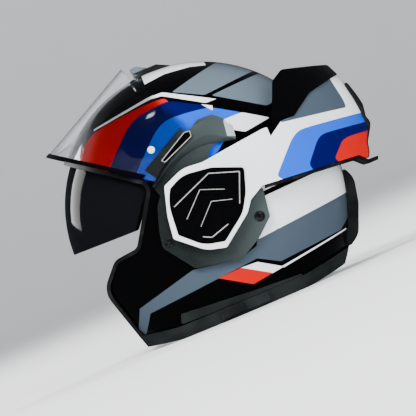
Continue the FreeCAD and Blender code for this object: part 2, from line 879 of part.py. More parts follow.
# ---------------------------------------------------------------- pins, clips and screws, bound to the sheet
for name, sign in (("left", ""), ("right", "-")):
    reverse = name == "right"
    land_x = "(Sizes.ShellHalfWidth - Sizes.LandDepth)"
    wall_x = f"({land_x} - Sizes.ShellWall)"
    outer_x = "(Sizes.ShellHalfWidth - Sizes.LandDepth + Sizes.PlateDepth + 5.5)"
    stem = cylinder(
        f"pivot_stem_{name}",
        "Sizes.PinRadius",
        f"{outer_x} - {wall_x}",
        [f"{sign}{wall_x}", "0", "0"],
        reverse,
    )
    flange_at, neck_at, stub_at, ring_at, bore_at = (
        [f"{sign}({wall_x} - {inwards})", "0", "0"] for inwards in (2.8, 2.9, 10, 6.8, 7.2)
    )
    flange = cylinder(f"pivot_flange_{name}", f"{FLANGE}", "2.6", flange_at, reverse)
    neck = cylinder(f"pivot_neck_{name}", "Sizes.PinRadius", "3", neck_at, reverse)
    stub = cylinder(f"pivot_stub_{name}", "Sizes.PinRadius / 2", "7.2", stub_at, reverse)
    place(union(f"pivot_pin_{name}", stem, flange, neck, stub), f"pivot_pin_{name}")
    ring = cylinder(f"clip_ring_{name}", "6.5", "1.2", ring_at, reverse)
    hole = cylinder(f"clip_hole_{name}", "Sizes.PinRadius / 2", "2", bore_at, reverse)
    place(cut(f"sun_visor_clip_{name}", ring, hole), f"sun_visor_clip_{name}")

screws = []
for name, sign in (("left", ""), ("right", "-")):
    reverse = name == "right"
    seat_x = f"(Sizes.ShellHalfWidth - Sizes.LandDepth + Sizes.PlateDepth - {SEAT_DEPTH})"
    for index, (y, z) in enumerate(SCREWS):
        at = [f"{y} * Sizes.DomeRadius / 146", f"{z} * Sizes.DomeRadius / 146"]
        head_at = [f"{sign}{seat_x}"] + at
        head = cylinder(f"head_{name}_{index}", "Sizes.ScrewRadius", "2.4", head_at, reverse)
        shank = cylinder(
            f"shank_{name}_{index}",
            "Sizes.ScrewRadius / 2",
            "Sizes.ShellWall + 8",
            [f"{sign}({seat_x} - Sizes.ShellWall - 7)"] + at,
            reverse,
        )
        socket = doc.addObject("Part::Prism", f"socket_{name}_{index}")
        socket.Polygon = 6
        socket.setExpression("Circumradius", "Sizes.ScrewRadius * 0.55")
        socket.Height = 4
        outwards = Vector(-1 if reverse else 1, 0, 0)
        socket.Placement = Placement(Vector(0, 0, 0), Rotation(Vector(0, 0, 1), outwards))
        for axis, value in zip("xyz", [f"{sign}({seat_x} + 0.9)"] + at):
            socket.setExpression(f".Placement.Base.{axis}", value)
        screws.append(cut(f"screw_{name}_{index}", union(f"blank_{name}_{index}", head, shank), socket))
group = doc.addObject("Part::Compound", "plate_screws")
group.Links = screws
place(group, "plate_screws")


# ---------------------------------------------------------------- small moving pieces, as part design bodies
def pad_block(label, size, at, rounding, pockets=(), raw=False):
    """A rounded block: a rectangle sketched from its low corner, padded, cut and rounded, all bound.

    size and at are three expressions each, at being the low corner in the hinge frame. Each pocket is
    (along, low, high), a rectangular hole right through along "x" or "z", in the block's own place.
    A raw block stays in the hinge frame, to be joined with others.
    """
    owner = doc.addObject("PartDesign::Body", label)
    planes = {feature.Role: feature for feature in owner.Origin.OriginFeatures}

    def rectangle(name, role, low, high):
        sketch = owner.newObject("Sketcher::SketchObject", name)
        sketch.AttachmentSupport = [(planes[role], "")]
        sketch.MapMode = "FlatFace"
        points = [Vector(1, 1, 0), Vector(9, 1, 0), Vector(9, 9, 0), Vector(1, 9, 0)]
        for index in range(4):
            sketch.addGeometry(Part.LineSegment(points[index], points[(index + 1) % 4]))
        for index in range(4):
            sketch.addConstraint(Sketcher.Constraint("Coincident", index, 2, (index + 1) % 4, 1))
        for index, kind in enumerate(["Horizontal", "Vertical", "Horizontal", "Vertical"]):
            sketch.addConstraint(Sketcher.Constraint(kind, index))
        for kind, line, end, value in (
            ("DistanceX", 0, 1, low[0]),
            ("DistanceY", 0, 1, low[1]),
            ("DistanceX", 2, 1, high[0]),
            ("DistanceY", 2, 1, high[1]),
        ):
            number = sketch.addConstraint(Sketcher.Constraint(kind, -1, 1, line, end, 5.0))
            sketch.setExpression(f"Constraints[{number}]", value)
        return sketch

    pad = owner.newObject("PartDesign::Pad", f"{label}_pad")
    pad.Profile = rectangle(f"{label}_plan", "XY_Plane", ("0", "0"), (size[0], size[1]))
    pad.setExpression("Length", size[2])
    last = pad
    for number, (along, low, high) in enumerate(pockets):
        doc.recompute()
        before = owner.Shape.Volume
        pocket = owner.newObject("PartDesign::Pocket", f"{label}_pocket_{number}")
        role = "XY_Plane" if along == "z" else "YZ_Plane"
        pocket.Profile = rectangle(f"{label}_hole_{number}", role, low, high)
        pocket.Type = "ThroughAll"
        pocket.Midplane = True
        doc.recompute()
        if owner.Shape.Volume >= before:
            raise RuntimeError(f"{label}: pocket {number} cuts nothing")
        last = pocket
    doc.recompute()
    fillet = owner.newObject("PartDesign::Fillet", f"{label}_rounding")
    straight = [f"Edge{i + 1}" for i in range(len(last.Shape.Edges))]
    fillet.Base = (last, straight)
    fillet.Radius = rounding
    owner.Tip = fillet
    if not raw:
        place(owner, label)
    for axis, value, lift in zip("xyz", at, ("0", "Sizes.HingeY", "Sizes.HingeHeight")):
        owner.setExpression(f".Placement.Base.{axis}", value if raw else f"{lift} + {value}")
    return owner


SLIDER_X = 110.0  # sun visor slider: inner face, from the helmet's middle
SLIDER_Z = -112.5


def make_slider_track():
    """The flat track on the left of the skirt that the sun visor's slider runs on."""
    x = SLIDER_X - 0.3 + cells.ShellHalfWidth - 123
    low = SLIDER_Z - 0.5
    block = box(60, x, -26, 26, low, -103.2)
    return tidy_largest(block.cut(skin(cells.SkirtWall + 0.05)))


freeform("slider_track", make_slider_track())
pad_block(
    "sun_visor_slider",
    ("4", "24", "8.5"),
    (f"Sizes.ShellHalfWidth - 123 + {SLIDER_X}", "-24", f"{SLIDER_Z}"),
    0.8,
)
pad_block(
    "chin_vent_shutter",
    (f"{2 * SHUTTER[0]}", "5", f"{SHUTTER[2] - SHUTTER[1]}"),
    (f"-{SHUTTER[0]}", f"{shutter_in + 0.4}", f"{SHUTTER[1]}"),
    0.6,
)
pad_block(
    "release_button",
    (f"{2 * BUTTON[0]}", f"{BUTTON[2] - BUTTON[1]}", f"{BUTTON_HEIGHT}"),
    (f"-{BUTTON[0]}", f"{BUTTON[1]}", f"{button_top - BUTTON_HEIGHT}"),
    0.8,
)

# ---------------------------------------------------------------- chin strap, hanging open
STRAP_X = "(Sizes.NeckHalfWidth - 1)"  # outer face of the hanging strap
TAB_X = "(Sizes.ShellHalfWidth - Sizes.LandDepth - Sizes.ShellWall - 1.9)"
STRAP_TOP = "(-40.3 * Sizes.DomeRadius / 146)"


def block(name, size, low, sign=""):
    """A bound Part::Box. low is its low corner on the left side; sign "-" mirrors it to the right."""
    feature = doc.addObject("Part::Box", name)
    for side_name, value in zip(("Length", "Width", "Height"), size):
        feature.setExpression(side_name, value)
    x = f"-({low[0]} + {size[0]})" if sign else low[0]
    for axis, value in zip("xyz", (x, low[1], low[2])):
        feature.setExpression(f".Placement.Base.{axis}", value)
    return feature


def make_strap(name, sign, end):
    """A strap riveted to the shell, led in over the cheek pad and hanging down to Z = end."""
    wall, width, half = "Sizes.StrapWall", "Sizes.StrapWidth", "-Sizes.StrapWidth / 2"
    tab_at = (f"{TAB_X} - {wall}", half, f"{STRAP_TOP} - 20")
    tab = block(f"strap_tab_{name}", (wall, width, "20"), tab_at, sign)
    lead = block(
        f"strap_lead_{name}",
        (f"{TAB_X} - {STRAP_X} + {wall}", width, wall),
        (f"{STRAP_X} - {wall}", half, f"{STRAP_TOP} - {wall}"),
        sign,
    )
    fall_at = (f"{STRAP_X} - {wall}", half, end)
    fall = block(f"strap_fall_{name}", (wall, width, f"{STRAP_TOP} - ({end})"), fall_at, sign)
    hole = cylinder(
        f"strap_hole_{name}",
        f"{RIVET} + 0.1",
        "40",
        [f"{sign}({TAB_X} - 20)", "0", f"{RIVET_Z} * Sizes.DomeRadius / 146"],
        sign == "-",
    )
    whole = union(f"strap_whole_{name}", tab, lead, fall)
    place(cut(f"strap_{name}", whole, hole), f"strap_{name}")
    at = ["0", f"{RIVET_Z} * Sizes.DomeRadius / 146"]
    right = sign == "-"
    shank_at = [f"{sign}({TAB_X} - {wall} - 1)"] + at
    shank = cylinder(f"rivet_shank_{name}", f"{RIVET}", f"{wall} + 6.8", shank_at, right)
    head_at = [f"{sign}({TAB_X} - {wall} - 1.2)"] + at
    head = cylinder(f"rivet_head_{name}", f"2 * {RIVET}", "1.1", head_at, right)
    place(union(f"strap_rivet_{name}", shank, head), f"strap_rivet_{name}")


BUCKLE_END = -110.0
make_strap("left", "", "-90")
make_strap("right", "-", f"{BUCKLE_END} + Sizes.BuckleLength")
pad_block(
    "ratchet_tongue",
    ("1.8", "18", "22"),
    (f"{STRAP_X} - Sizes.StrapWall + 0.3", "-9", "-90 - 22"),
    0.5,
)
inner_face = f"(Sizes.BuckleWall - {STRAP_X})"  # the buckle body's face towards the neck
EAR_WALL = 2.4
PIN_Z = BUCKLE_END + 37.0
frame_body = pad_block(
    "buckle_frame",
    ("Sizes.BuckleWall", "Sizes.BuckleWidth", "Sizes.BuckleLength"),
    (f"-{STRAP_X}", "-Sizes.BuckleWidth / 2", f"{BUCKLE_END}"),
    0.8,
    [("z", ("2", "5"), ("Sizes.BuckleWall - 4", "Sizes.BuckleWidth - 5"))],
    True,
)
ears = []
for number, start in enumerate(("-Sizes.BuckleWidth / 2", f"Sizes.BuckleWidth / 2 - {EAR_WALL}")):
    ear_at = (f"{inner_face} - 1", start, f"{PIN_Z} - 4")
    ears.append(block(f"buckle_ear_{number}", ("5", f"{EAR_WALL}", "8"), ear_at))
pin_at = [f"{inner_face} + 1.9", "-Sizes.BuckleWidth / 2", f"{PIN_Z}"]
pin_bore = cylinder("buckle_bore", "1.3", "Sizes.BuckleWidth", pin_at, along=(0, 1, 0))
place(cut("buckle_body", union("buckle_blank", frame_body, *ears), pin_bore), "buckle_body")
lever_plate = pad_block(
    "lever_plate",
    ("3", "Sizes.BuckleWidth - 6", "34"),
    (f"{inner_face} + 0.4", "-Sizes.BuckleWidth / 2 + 3", f"{BUCKLE_END} + 4"),
    0.7,
    raw=True,
)
lever_pin = cylinder("lever_pin", "1.2", "Sizes.BuckleWidth", pin_at, along=(0, 1, 0))
place(union("buckle_lever", lever_plate, lever_pin), "buckle_lever")
for name, start in (("left", "48"), ("right", "-79")):
    at = (start, "-58", "-Sizes.HingeHeight + 0.6")
    pad_block(f"cheek_release_tab_{name}", ("31", "14", "1.8"), at, 0.5)

doc.recompute()
for item in doc.Objects:
    if "Invalid" in item.State or "Error" in item.State:
        raise RuntimeError(f"{item.Label} did not compute: {item.State}")
for label, feature in sub_parts.items():
    if feature.Shape.isNull() or not feature.Shape.isValid() or not feature.Shape.Solids:
        raise RuntimeError(f"{label} has no valid solid")

os.makedirs("parts", exist_ok=True)
for label, feature in sub_parts.items():
    feature.Shape.exportStep(f"parts/{label}.step")
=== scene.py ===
"""Looks of a flip-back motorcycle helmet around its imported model: paint, lenses, padding and studio."""

import json
import math

import bmesh
import bpy
from mathutils import Matrix, Vector


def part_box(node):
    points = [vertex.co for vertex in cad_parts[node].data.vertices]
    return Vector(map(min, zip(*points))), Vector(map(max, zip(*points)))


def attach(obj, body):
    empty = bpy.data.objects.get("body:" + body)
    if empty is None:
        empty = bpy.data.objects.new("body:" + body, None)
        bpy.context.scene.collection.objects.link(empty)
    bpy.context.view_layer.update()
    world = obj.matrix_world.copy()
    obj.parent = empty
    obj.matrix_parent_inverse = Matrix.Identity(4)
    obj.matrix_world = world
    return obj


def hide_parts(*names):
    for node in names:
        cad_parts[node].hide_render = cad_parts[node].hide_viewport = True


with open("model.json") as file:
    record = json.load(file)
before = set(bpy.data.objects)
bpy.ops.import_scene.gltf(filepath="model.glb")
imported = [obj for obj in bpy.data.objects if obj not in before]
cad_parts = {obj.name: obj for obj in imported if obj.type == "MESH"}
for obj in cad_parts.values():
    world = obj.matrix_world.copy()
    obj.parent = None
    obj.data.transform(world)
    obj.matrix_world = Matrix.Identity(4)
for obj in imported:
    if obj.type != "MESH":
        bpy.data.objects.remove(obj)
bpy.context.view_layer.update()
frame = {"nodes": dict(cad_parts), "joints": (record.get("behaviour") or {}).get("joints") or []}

bl_info = {
    "name": "Flip-back helmet looks",
    "version": (1, 0, 0),
    "blender": (4, 5, 0),
    "location": "3D View > Sidebar > Helmet",
    "description": "Paints, lenses, padding and trim of a flip-back helmet around its packed model",
    "category": "Object",
}

MM = 0.001
NODES = frame["nodes"]
JOINTS = {joint["name"]: joint for joint in frame["joints"]}
HINGE = Vector(JOINTS["chin_bar_hinge"]["pos_m"])  # where chin bar and visor turn
SIDES = (("left", 1), ("right", -1))


def linear(code):
    """The linear colour of an sRGB hex code."""
    parts = [int(code[index:index + 2], 16) / 255 for index in (0, 2, 4)]
    return tuple(part / 12.92 if part <= 0.04045 else ((part + 0.055) / 1.055) ** 2.4 for part in parts)


# ---------------------------------------------------------------- settings that a user would change
def colour(name, description, code):
    return bpy.props.FloatVectorProperty(
        name=name, description=description, default=linear(code), subtype="COLOR", size=3, min=0, max=1
    )


def length(name, description, millimetres):
    default = millimetres * MM
    return bpy.props.FloatProperty(
        name=name, description=description, default=default, unit="LENGTH", subtype="DISTANCE", min=0
    )


class HelmetColours(bpy.types.PropertyGroup):
    """Colours of the helmet's paints and materials."""

    black: colour("Black lacquer", "Base colour of the shell", "020203")
    white: colour("White lacquer", "Base colour of the chin bar", "F4F7FA")
    red: colour("Red", "Front stripe of the livery", "C40000")
    navy: colour("Navy", "Middle stripe of the livery", "00004E")
    blue: colour("Blue", "Back stripe of the livery", "0055DC")
    slate: colour("Slate", "Bands low on the shell and on the chin bar", "414D59")
    pewter: colour("Pewter", "Panels on the crown", "5A6772")
    gunmetal: colour("Gunmetal", "Hinge plates and visor arms", "333B3B")
    moulding: colour("Black moulding", "Vents, skirt and trims", "121415")
    rubber: colour("Rubber", "Edge trim and visor seal", "0E0E0F")
    cloth: colour("Liner cloth", "Knitted fabric of the padding", "23262B")
    cloth_fleck: colour("Liner fleck", "Lighter yarns in the padding", "70767F")
    webbing: colour("Webbing", "Chin strap", "17181A")
    pull_red: colour("Pull tab", "Emergency pull tabs and release button", "C3141C")
    smoke: colour("Smoke tint", "Sun visor", "121317")


class HelmetSizes(bpy.types.PropertyGroup):
    """Sizes of the helmet's surface details."""

    voxel: length("Remesh size", "Size of the faces that the padding is made of before it swells", 5)
    swell: length("Swell", "How far padding may puff out of its plain shape", 4)
    knit: length("Knit", "Distance between the yarns of the liner cloth", 1.6)
    quilt: length("Quilt", "Distance between the sewn channels of the padding", 22)
    bead: length("Foam bead", "Size of the beads in the expanded foam", 3.2)
    grain: length("Moulding grain", "Size of the grain on textured mouldings", 0.9)
    peel: length("Orange peel", "Size of the faint ripples in the lacquer", 9)
    rib: length("Webbing rib", "Distance between the ribs of woven webbing", 1.9)
    floor: length("Floor", "Width of the studio floor with its upturned edges", 26000)


# ---------------------------------------------------------------- node and material helpers
def add(tree, kind, values=None, links=None):
    """Adds a node. values are settings by name, or input values by name or number; links go to inputs."""
    node = tree.nodes.new(kind)
    for key, value in (values or {}).items():
        if isinstance(key, str) and hasattr(node, key):
            setattr(node, key, value)
        else:
            node.inputs[key].default_value = value
    for key, socket in (links or {}).items():
        tree.links.new(socket, node.inputs[key])
    return node


def new_material(name, values):
    """A material with one Principled shader, and the tree and shader to build on."""
    material = bpy.data.materials.new(name)
    material.use_nodes = True
    tree = material.node_tree
    shader = tree.nodes["Principled BSDF"]
    for key, value in values.items():
        shader.inputs[key].default_value = value
    return material, tree, shader


def rgba(value):
    return (*value, 1.0)


def object_place(tree):
    return add(tree, "ShaderNodeTexCoord").outputs["Object"]


def bump(tree, shader, height, distance, strength=1.0, socket="Normal"):
    """Raises the surface by distance where height is 1."""
    node = add(tree, "ShaderNodeBump", {"Strength": strength, "Distance": distance}, {"Height": height})
    tree.links.new(node.outputs["Normal"], shader.inputs[socket])


def noise(tree, place, pitch, detail=2.0, roughness=0.5):
    """Soft noise whose blots are about pitch apart."""
    values = {"Scale": 1 / pitch, "Detail": detail, "Roughness": roughness}
    return add(tree, "ShaderNodeTexNoise", values, {"Vector": place}).outputs["Fac"]


def math_node(tree, operation, values, links):
    """The result of a math node."""
    return add(tree, "ShaderNodeMath", {"operation": operation, **values}, links).outputs[0]


def ramp(tree, value, low, high, bottom=0.0, top=1.0):
    """bottom where value is at most low, top where it is at least high."""
    values = {1: low, 2: high, 3: bottom, 4: top, "clamp": True}
    return add(tree, "ShaderNodeMapRange", values, {0: value}).outputs[0]


def mix(tree, factor, below, above):
    """above laid over below where factor is 1. below and above are sockets or colours."""
    node = add(tree, "ShaderNodeMix", {"data_type": "RGBA"}, {0: factor})
    for number, item in ((6, below), (7, above)):
        if isinstance(item, bpy.types.NodeSocket):
            tree.links.new(item, node.inputs[number])
        else:
            node.inputs[number].default_value = rgba(item)
    return node.outputs[2]


def wear(tree, shader, material_roughness, spread, pitch=0.02):
    """Uneven gloss from handling."""
    blots = noise(tree, object_place(tree), pitch, 3.0)
    rough = ramp(tree, blots, 0.35, 0.65, material_roughness, material_roughness + spread)
    tree.links.new(rough, shader.inputs["Roughness"])


def dress(material, *nodes):
    """Gives CAD nodes their material."""
    for name in nodes:
        data = NODES[name].data
        data.materials.clear()
        data.materials.append(material)


# ---------------------------------------------------------------- the livery, as outlines seen from the side
# Each entry is a colour, the rounding of its corners and an outline, laid on in this order. An outline
# covers only what lies inside the lines of all its edges, so it should be convex. Outlines are millimetres
# behind (y) and above (z) the hinge axis, and both sides of the helmet carry the same ones.
SHELL_LIVERY = [
    ("white", 0.5, [(-7, 134), (15, 136.2), (15, 160), (-7, 160)]),
    ("white", 0.5, [(14.9, 136.2), (42, 133.2), (42, 160), (14.9, 160)]),
    ("white", 0.5, [(41.9, 133.2), (57, 128.8), (57, 160), (41.9, 160)]),
    ("white", 1.5, [(-72, 111.4), (-8, 119.8), (6, 119.2), (54, 91.5), (50, 85), (-60, 80)]),
    ("black", 1.5, [(-72, 109.8), (-8, 117.2), (4, 116), (52, 86), (40, 60), (-90, 40), (-120, 80)]),
    ("red", 5.0, [(-102, 86), (-81.3, 104.3), (-70, 109.2), (-10, 114.8), (6, 113), (30, 60),
                  (-90, 40)]),
    ("navy", 5.0, [(-74.5, 66), (-40.8, 98.6), (-26.4, 106), (8, 109), (46, 87), (30, 50), (-60, 40)]),
    ("blue", 5.0, [(-51, 52), (-14.5, 86), (-3, 91.3), (12, 92), (44, 87), (71.5, 69.6), (30, 40),
                   (-30, 36)]),
    ("black", 1.0, [(38, 92.5), (102, 54), (104, 72), (60, 92)]),
    ("white", 1.0, [(37, 93), (47, 87.3), (45.5, 82.6), (43, 85)]),
    ("white", 2.0, [(51, 70.2), (71, 70), (95, 54.4), (67, 50.6), (48, 62)]),
    ("pewter", 2.0, [(15, 115.6), (49, 124), (80, 130), (110, 106), (96, 104.4), (44, 100.2)]),
    ("pewter", 2.5, [(50, 97.2), (103, 100.6), (130, 92), (121, 82), (103.6, 67.5), (97, 66.6)]),
    ("white", 1.0, [(62, 20), (200, 20), (200, -38.8), (38, -53)]),
    ("black", 0.5, [(58, -15.5), (128, -13), (128, -8), (58, -10.5)]),
    ("slate", 1.0, [(36, -52.6), (141, -44), (141, -60), (118, -76.5), (50, -81.5), (28, -69)]),
    ("slate", 1.0, [(14, -63.5), (-34, -55.5), (-98, -71), (-90, -79.5), (30, -69.5)]),
    ("slate", 0.5, [(60, -50), (13, -63.8), (29, -69.7), (60, -60)]),
    ("slate", 0.5, [(-98, -71), (-89, -78), (-102, -98), (-110, -95)]),
    ("black", 0.5, [(30, -70.3), (-90, -79.8), (-104, -100), (50, -100), (60, -88), (50, -82.3)]),
    ("white", 0.4, [(49, -86.4), (124, -77.2), (124, -78.4), (50, -88.2)]),
    ("white", 0.6, [(10, -72), (28, -73), (50.5, -87.4), (37, -89.2)]),
    ("red", 0.6, [(-14, -73), (11, -72), (38, -89), (16, -92)]),
]
CHIN_LIVERY = [
    ("blue", 5.0, [(78.5, -2), (108, 28), (118, 32), (161, 27.6), (200, 22), (200, -30), (100, -30)]),
    ("navy", 5.0, [(112.5, -4), (131, 17), (139, 20.2), (168, 16.4), (200, 13), (200, -30), (120, -30)]),
    ("red", 3.0, [(139, -8), (153, 5.6), (160, 7), (200, 3), (200, -30), (150, -30)]),
    ("slate", 3.0, [(101, 44.6), (154, 36.6), (170, 34), (171, 40), (166.5, 68), (141, 63), (110, 52)]),
    ("black", 0.5, [(94, 44), (104, 46.5), (116, 49), (106, 60), (94, 60)]),
    ("black", 0.5, [(88, 36.5), (104, 47), (104, 120), (88, 120)]),
    ("black", 0.5, [(103.9, 47), (118, 46.5), (118, 120), (103.9, 120)]),
]
EDGE_SOFT = 0.35  # width of the blend along a stripe's edge, in millimetres


def hinge_place(tree):
    """Place in millimetres from the middle of the hinge axis."""
    kind = "ShaderNodeVectorMath"
    offset = add(tree, kind, {"operation": "SUBTRACT", 1: HINGE}, {0: object_place(tree)})
    scaled = add(tree, kind, {"operation": "SCALE", "Scale": 1 / MM}, {0: offset.outputs[0]})
    return scaled.outputs[0]


def outline_mask(tree, place, rounding, corners):
    """1 inside a convex outline seen from the side, with rounded corners."""
    middle = sum((Vector((0, *corner)) for corner in corners), Vector()) / len(corners)
    inside = None
    for (y0, z0), (y1, z1) in zip(corners, corners[1:] + corners[:1]):
        start = Vector((0, y0, z0))
        normal = Vector((0, z0 - z1, y1 - y0)).normalized()
        if normal.dot(middle - start) < 0:
            normal.negate()
        along = add(tree, "ShaderNodeVectorMath", {"operation": "DOT_PRODUCT", 1: normal}, {0: place})
        depth = math_node(tree, "SUBTRACT", {1: normal.dot(start)}, {0: along.outputs["Value"]})
        if inside is None:
            inside = depth
        else:
            inside = math_node(tree, "SMOOTH_MIN", {2: rounding}, {0: inside, 1: depth})
    return ramp(tree, inside, -EDGE_SOFT / 2, EDGE_SOFT / 2)


def lacquer(name, base, livery):
    """Painted ABS under a clear coat: deep colour, a mirror-smooth top and a faint orange peel."""
    colours, sizes = bpy.context.scene.helmet_colours, bpy.context.scene.helmet_sizes
    values = {
        "Roughness": 0.3,
        "Specular IOR Level": 0.08,
        "Coat Weight": 1.0,
        "Coat Roughness": 0.03,
        "Coat IOR": 1.45,
    }
    material, tree, shader = new_material(name, values)
    place = hinge_place(tree)
    paint = None
    for kind, rounding, corners in livery:
        mask = outline_mask(tree, place, rounding, corners)
        paint = mix(tree, mask, paint or getattr(colours, base), getattr(colours, kind))
    shade = ramp(tree, noise(tree, object_place(tree), 0.07, 1.0), 0.3, 0.7, 0.93, 1.0)
    faint = add(tree, "ShaderNodeMix", {"data_type": "RGBA", "blend_type": "MULTIPLY", 0: 1.0}, {6: paint})
    tint = add(tree, "ShaderNodeCombineColor", None, dict.fromkeys((0, 1, 2), shade))
    tree.links.new(tint.outputs[0], faint.inputs[7])
    tree.links.new(faint.outputs[2], shader.inputs["Base Color"])
    peel = noise(tree, object_place(tree), sizes.peel, 1.0)
    bump(tree, shader, peel, 0.00004, 0.5, "Coat Normal")
    return material


# ---------------------------------------------------------------- other materials
BAND_SCALE = 0.314  # scale of a wave texture whose bands are one metre apart
HIGHLIGHT_PATCH = [(51, 69.5), (57.6, 62), (56.6, 50), (48.6, 53.5)]  # painted highlight: a pale patch where a reflection falls on the visor's covers


def satin_paint(name="satin_gunmetal_paint", painted_highlight=False):
    """Gunmetal satin paint with fine metal flake: dark and slightly green, paler behind the hinge, and if
    asked, with a pale painted highlight on the visor's covers.
    """
    colours = bpy.context.scene.helmet_colours
    material, tree, shader = new_material(name, {"Metallic": 0.25, "IOR": 1.46})
    flake = noise(tree, object_place(tree), 0.0009, 1.0)
    place = hinge_place(tree)
    behind = ramp(tree, add(tree, "ShaderNodeSeparateXYZ", None, {0: place}).outputs["Y"], -30, 55)
    darker = tuple(part * 0.3 for part in colours.gunmetal)
    lighter = tuple(min(1, part * 1.8) for part in colours.gunmetal)
    base = mix(tree, behind, darker, lighter)
    base = mix(tree, ramp(tree, flake, 0.45, 0.8, 0.0, 0.35), base, lighter)
    # painted highlight: a pale patch laid on where a reflection falls on the visor's covers
    if painted_highlight:
        base = mix(tree, outline_mask(tree, place, 0.5, HIGHLIGHT_PATCH), base, linear("B9C4C6"))
    tree.links.new(base, shader.inputs["Base Color"])
    wear(tree, shader, 0.36, 0.1)
    bump(tree, shader, flake, 0.00003, 0.6)
    return material


def grained_moulding(name, tint, gloss=0.35):
    """Spark-eroded texture on a moulded nylon or ABS part: a fine grain that breaks up highlights."""
    sizes = bpy.context.scene.helmet_sizes
    material, tree, shader = new_material(name, {"IOR": 1.5, "Specular IOR Level": 0.5})
    place = object_place(tree)
    grain = add(tree, "ShaderNodeTexVoronoi", {"Scale": 1 / sizes.grain}, {"Vector": place})
    lighter = tuple(part * 1.5 + 0.004 for part in tint)
    base = mix(tree, ramp(tree, noise(tree, place, 0.03), 0.4, 0.7), tint, lighter)
    tree.links.new(base, shader.inputs["Base Color"])
    wear(tree, shader, gloss, 0.12)
    bump(tree, shader, grain.outputs["Distance"], 0.00008, 0.7)
    return material


def polished_black():
    """Black ABS from a polished mould: nearly a mirror, with the odd faint ripple."""
    colours = bpy.context.scene.helmet_colours
    values = {"Base Color": rgba(colours.black), "Coat Weight": 0.6, "Coat Roughness": 0.03, "IOR": 1.5}
    material, tree, shader = new_material("polished_black_abs", values)
    wear(tree, shader, 0.08, 0.08)
    bump(tree, shader, noise(tree, object_place(tree), 0.008, 1.0), 0.00003, 0.5)
    return material


def rubber():
    """Extruded EPDM rubber: matt, a little dusty, with fine drawn lines."""
    colours = bpy.context.scene.helmet_colours
    material, tree, shader = new_material("extruded_rubber", {"Roughness": 0.62, "IOR": 1.52})
    dust = noise(tree, object_place(tree), 0.012, 4.0)
    pale = tuple(part + 0.02 for part in colours.rubber)
    tree.links.new(mix(tree, ramp(tree, dust, 0.5, 0.8), colours.rubber, pale), shader.inputs["Base Color"])
    bump(tree, shader, noise(tree, object_place(tree), 0.0012, 2.0), 0.00006, 0.6)
    return material


def clear_lens():
    """Hard-coated clear polycarbonate, injection moulded: glossy, with a faint blue-grey at its edges."""
    values = {
        "Base Color": (0.97, 0.985, 1.0, 1.0),
        "Transmission Weight": 1.0,
        "Roughness": 0.0,
        "IOR": 1.2,
        "Specular IOR Level": 0.6,
    }
    material, tree, shader = new_material("clear_polycarbonate", values)
    ripple = noise(tree, object_place(tree), 0.05, 0.0)
    bump(tree, shader, ripple, 0.00002, 0.3)
    return material


def smoke_lens():
    """Smoke-tinted polycarbonate: nearly black from outside, with sharp reflections."""
    colours = bpy.context.scene.helmet_colours
    values = {
        "Base Color": rgba(colours.smoke),
        "Transmission Weight": 0.4,
        "Roughness": 0.06,
        "IOR": 1.12,
        "Specular IOR Level": 0.2,
    }
    material, tree, shader = new_material("smoke_polycarbonate", values)
    bump(tree, shader, noise(tree, object_place(tree), 0.06, 0.0), 0.00002, 0.3)
    return material


def foam():
    """Expanded polystyrene, moulded from beads in black: a fine cobble with dark joints."""
    sizes = bpy.context.scene.helmet_sizes
    material, tree, shader = new_material("expanded_foam", {"Roughness": 0.8, "IOR": 1.4})
    cells = add(tree, "ShaderNodeTexVoronoi", {"Scale": 1 / sizes.bead, "feature": "DISTANCE_TO_EDGE"},
                {"Vector": object_place(tree)}).outputs["Distance"]
    joint = ramp(tree, cells, 0.0, 0.12)
    tree.links.new(mix(tree, joint, linear("0C0C0D"), linear("2A2B2D")), shader.inputs["Base Color"])
    bump(tree, shader, joint, 0.0003)
    return material


def waves(tree, place, direction, pitch, **values):
    """Soft bands across a direction, one to each pitch."""
    values = {"bands_direction": direction, "Scale": BAND_SCALE / pitch, **values}
    return add(tree, "ShaderNodeTexWave", values, {"Vector": place}).outputs["Fac"]


def knit_cloth():
    """Brushed knitted polyester over foam: dark charcoal with lighter flecked yarns and a soft sheen."""
    colours, sizes = bpy.context.scene.helmet_colours, bpy.context.scene.helmet_sizes
    values = {"Roughness": 0.85, "Sheen Weight": 0.5, "Sheen Roughness": 0.45, "IOR": 1.45}
    material, tree, shader = new_material("knitted_liner_cloth", values)
    place = object_place(tree)
    height = None
    for direction in ("X", "Y", "Z"):
        wave = waves(tree, place, direction, sizes.knit, Distortion=1.4, Detail=1.0, **{"Detail Scale": 2.0})
        height = wave if height is None else math_node(tree, "MULTIPLY", {}, {0: height, 1: wave})
    fleck = ramp(tree, noise(tree, place, sizes.knit * 1.5, 3.0, 0.7), 0.56, 0.66)
    base = mix(tree, fleck, colours.cloth, colours.cloth_fleck)
    shadow = ramp(tree, height, 0.0, 0.5)
    base = mix(tree, shadow, tuple(part * 0.35 for part in colours.cloth), base)
    tree.links.new(base, shader.inputs["Base Color"])
    bump(tree, shader, height, 0.0004)
    return material


def webbing(name, tint):
    """Woven polyester webbing: ribs across the strap, each a row of twisted yarns, with painted shade in the
    grooves between them.
    """
    sizes = bpy.context.scene.helmet_sizes
    material, tree, shader = new_material(name, {"Roughness": 0.7, "Sheen Weight": 0.4, "IOR": 1.5})
    place = object_place(tree)
    ribs = waves(tree, place, "Y", sizes.rib, Distortion=0.6)
    rows = waves(tree, place, "Z", sizes.rib * BAND_SCALE / 0.45, Distortion=0.6)  # closer than the ribs
    height = math_node(tree, "MULTIPLY", {}, {0: ribs, 1: rows})
    lighter = tuple(part * 2.2 + 0.01 for part in tint)
    # painted shade: darker in the grooves between ribs and rows, lighter on their tops
    tree.links.new(mix(tree, height, tint, lighter), shader.inputs["Base Color"])
    bump(tree, shader, height, 0.0003)
    return material


